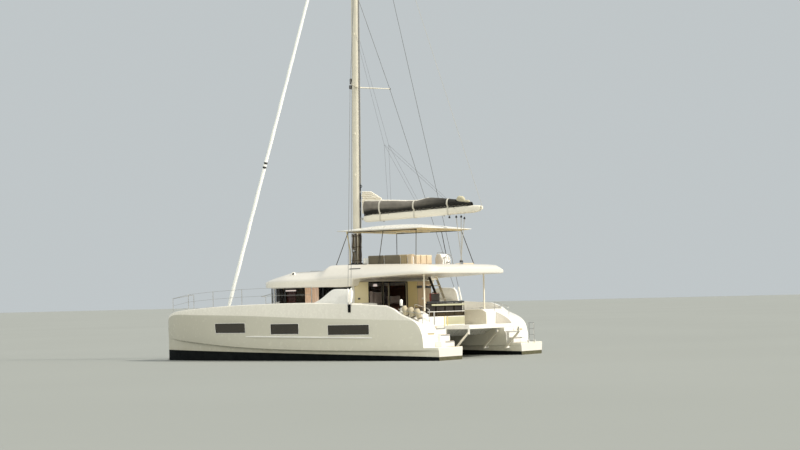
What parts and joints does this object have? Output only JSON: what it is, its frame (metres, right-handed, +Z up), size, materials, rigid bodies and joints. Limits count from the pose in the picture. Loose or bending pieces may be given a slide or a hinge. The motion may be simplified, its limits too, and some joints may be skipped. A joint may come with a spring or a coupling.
{
  "type": "sailing catamaran",
  "caption": "Cruising sailing catamaran with decked hulls, glazed saloon, flybridge under a hard top, furled sails and a stern platform that lowers.",
  "frame": {"origin": "on the waterline, on the centreline, at half the hulls' length", "axes": "+X towards the bows, +Y to port, +Z up"},
  "size_m": [14.17, 8.0068, 23.3],
  "materials": {
    "gelcoat": "glossy warm white gelcoat on glass-fibre laminate",
    "tan_panel": "satin tan panel",
    "dark_glass": "dark tinted glass",
    "stainless": "polished stainless steel",
    "spar_paint": "satin cream paint on aluminium",
    "sailcloth": "woven sailcloth",
    "charcoal_canvas": "charcoal canvas",
    "taupe_cushion": "taupe outdoor cushion",
    "dark_cushion": "dark outdoor cushion",
    "wood": "varnished walnut",
    "net": "woven net",
    "bronze": "bronze",
    "engine_grey": "grey enamel"
  },
  "bodies": {
    "hulls": {"hull_port": "gelcoat", "hull_starboard": "gelcoat", "keel_port": "gelcoat", "keel_starboard": "gelcoat", "bridgedeck": "gelcoat", "crossbeam": "spar_paint", "trampoline_port": "net", "trampoline_starboard": "net", "house_wall": "gelcoat", "house_glass": "dark_glass", "bulkhead": "tan_panel", "bulkhead_pane": "dark_glass", "corner_pane_port": "dark_glass", "corner_pane_starboard": "dark_glass", "coachroof": "gelcoat", "roof_pillar_port": "gelcoat", "roof_pillar_starboard": "gelcoat", "saloon_settee": "taupe_cushion", "saloon_table": "wood", "galley": "wood", "cockpit_bench": "dark_cushion", "cockpit_table": "wood", "flybridge_stairs": "spar_paint", "flybridge_settee": "taupe_cushion", "helm_console": "gelcoat", "helm_seat": "taupe_cushion", "bimini_frame": "stainless", "bimini_top": "gelcoat", "mast": "spar_paint", "shrouds_port": "stainless", "shrouds_starboard": "stainless", "saildrive_port": "engine_grey", "saildrive_starboard": "engine_grey", "engine_port": "engine_grey", "engine_starboard": "engine_grey", "lifelines_port": "stainless", "lifelines_starboard": "stainless", "quarter_rail_port": "stainless", "quarter_rail_starboard": "stainless", "windlass": "stainless"},
    "boom": {"boom": "spar_paint", "sail_cover": "charcoal_canvas", "flaked_sail": "sailcloth"},
    "genoa_furler": {"furled_genoa": "sailcloth"},
    "steering_wheel": {"steering_wheel": "stainless"},
    "rudder_port": {"rudder_port": "gelcoat"},
    "rudder_starboard": {"rudder_starboard": "gelcoat"},
    "propeller_port": {"propeller_port": "bronze"},
    "propeller_starboard": {"propeller_starboard": "bronze"},
    "sliding_door": {"sliding_door": "dark_glass"},
    "engine_hatch_port": {"engine_hatch_port": "gelcoat"},
    "engine_hatch_starboard": {"engine_hatch_starboard": "gelcoat"},
    "locker_lid_port": {"locker_lid_port": "gelcoat"},
    "locker_lid_starboard": {"locker_lid_starboard": "gelcoat"},
    "lift_arms_fore": {"lift_arm_fore_port": "spar_paint", "lift_arm_fore_starboard": "spar_paint"},
    "lift_arms_aft": {"lift_arm_aft_port": "spar_paint", "lift_arm_aft_starboard": "spar_paint"},
    "stern_platform": {"stern_platform": "gelcoat"},
    "swim_ladder": {"swim_ladder": "stainless"}
  },
  "joints": [
    {"name": "boom_swing", "type": "hinge", "parent": "hulls", "child": "boom", "pos_m": [-0.88, 0, 5.64], "axis": [0, 0, 1], "range_deg": [-50, 50]},
    {"name": "genoa_furling", "type": "hinge", "parent": "hulls", "child": "genoa_furler", "pos_m": [6.32, 0, 1.9], "axis": [-0.3382, 0, 0.9411], "continuous": true},
    {"name": "wheel_turn", "type": "hinge", "parent": "hulls", "child": "steering_wheel", "pos_m": [-4.29, -1.2, 3.79], "axis": [1, 0, 0], "range_deg": [-420, 420]},
    {"name": "rudder_port_turn", "type": "hinge", "parent": "hulls", "child": "rudder_port", "pos_m": [-5.75, 2.99, -0.8], "axis": [0, 0, 1], "range_deg": [-35, 35]},
    {"name": "rudder_starboard_turn", "type": "hinge", "parent": "hulls", "child": "rudder_starboard", "pos_m": [-5.75, -2.99, -0.8], "axis": [0, 0, 1], "range_deg": [-35, 35]},
    {"name": "propeller_port_spin", "type": "hinge", "parent": "hulls", "child": "propeller_port", "pos_m": [-4.82, 2.99, -0.93], "axis": [1, 0, 0], "continuous": true},
    {"name": "propeller_starboard_spin", "type": "hinge", "parent": "hulls", "child": "propeller_starboard", "pos_m": [-4.82, -2.99, -0.93], "axis": [1, 0, 0], "continuous": true},
    {"name": "door_slide", "type": "slide", "parent": "hulls", "child": "sliding_door", "axis": [0, 1, 0], "range_m": [0, 1.23]},
    {"name": "engine_hatch_port_lift", "type": "hinge", "parent": "hulls", "child": "engine_hatch_port", "pos_m": [-4.061, 3.02, 1.85], "axis": [0, 1, 0], "range_deg": [0, 85]},
    {"name": "engine_hatch_starboard_lift", "type": "hinge", "parent": "hulls", "child": "engine_hatch_starboard", "pos_m": [-4.061, -3.02, 1.85], "axis": [0, 1, 0], "range_deg": [0, 85]},
    {"name": "locker_lid_port_lift", "type": "hinge", "parent": "hulls", "child": "locker_lid_port", "pos_m": [3.739, 1.035, 2.18], "axis": [0, 1, 0], "range_deg": [0, 85]},
    {"name": "locker_lid_starboard_lift", "type": "hinge", "parent": "hulls", "child": "locker_lid_starboard", "pos_m": [3.739, -1.035, 2.18], "axis": [0, 1, 0], "range_deg": [0, 85]},
    {"name": "platform_lowering", "type": "hinge", "parent": "hulls", "child": "lift_arms_fore", "pos_m": [-5.4, 0, 0.31], "axis": [0, 1, 0], "range_deg": [-94, 0]},
    {"name": "lift_arms_aft_turn", "type": "hinge", "parent": "hulls", "child": "lift_arms_aft", "pos_m": [-6.43, 0, 0.31], "axis": [0, 1, 0], "range_deg": [-94, 0]},
    {"name": "platform_levelling", "type": "hinge", "parent": "lift_arms_fore", "child": "stern_platform", "pos_m": [-6.06, 0, 0.965], "axis": [0, 1, 0], "range_deg": [0, 94]},
    {"name": "ladder_unfolding", "type": "hinge", "parent": "hulls", "child": "swim_ladder", "pos_m": [-7.04, -2.97, 0.545], "axis": [0, 1, 0], "range_deg": [-180, 0]}
  ],
  "couplings": [
    {"joint": "rudder_port_turn", "follows": "wheel_turn", "ratio": 0.083333},
    {"joint": "rudder_starboard_turn", "follows": "wheel_turn", "ratio": 0.083333},
    {"joint": "lift_arms_aft_turn", "follows": "platform_lowering", "ratio": 1},
    {"joint": "platform_levelling", "follows": "platform_lowering", "ratio": -1}
  ]
}
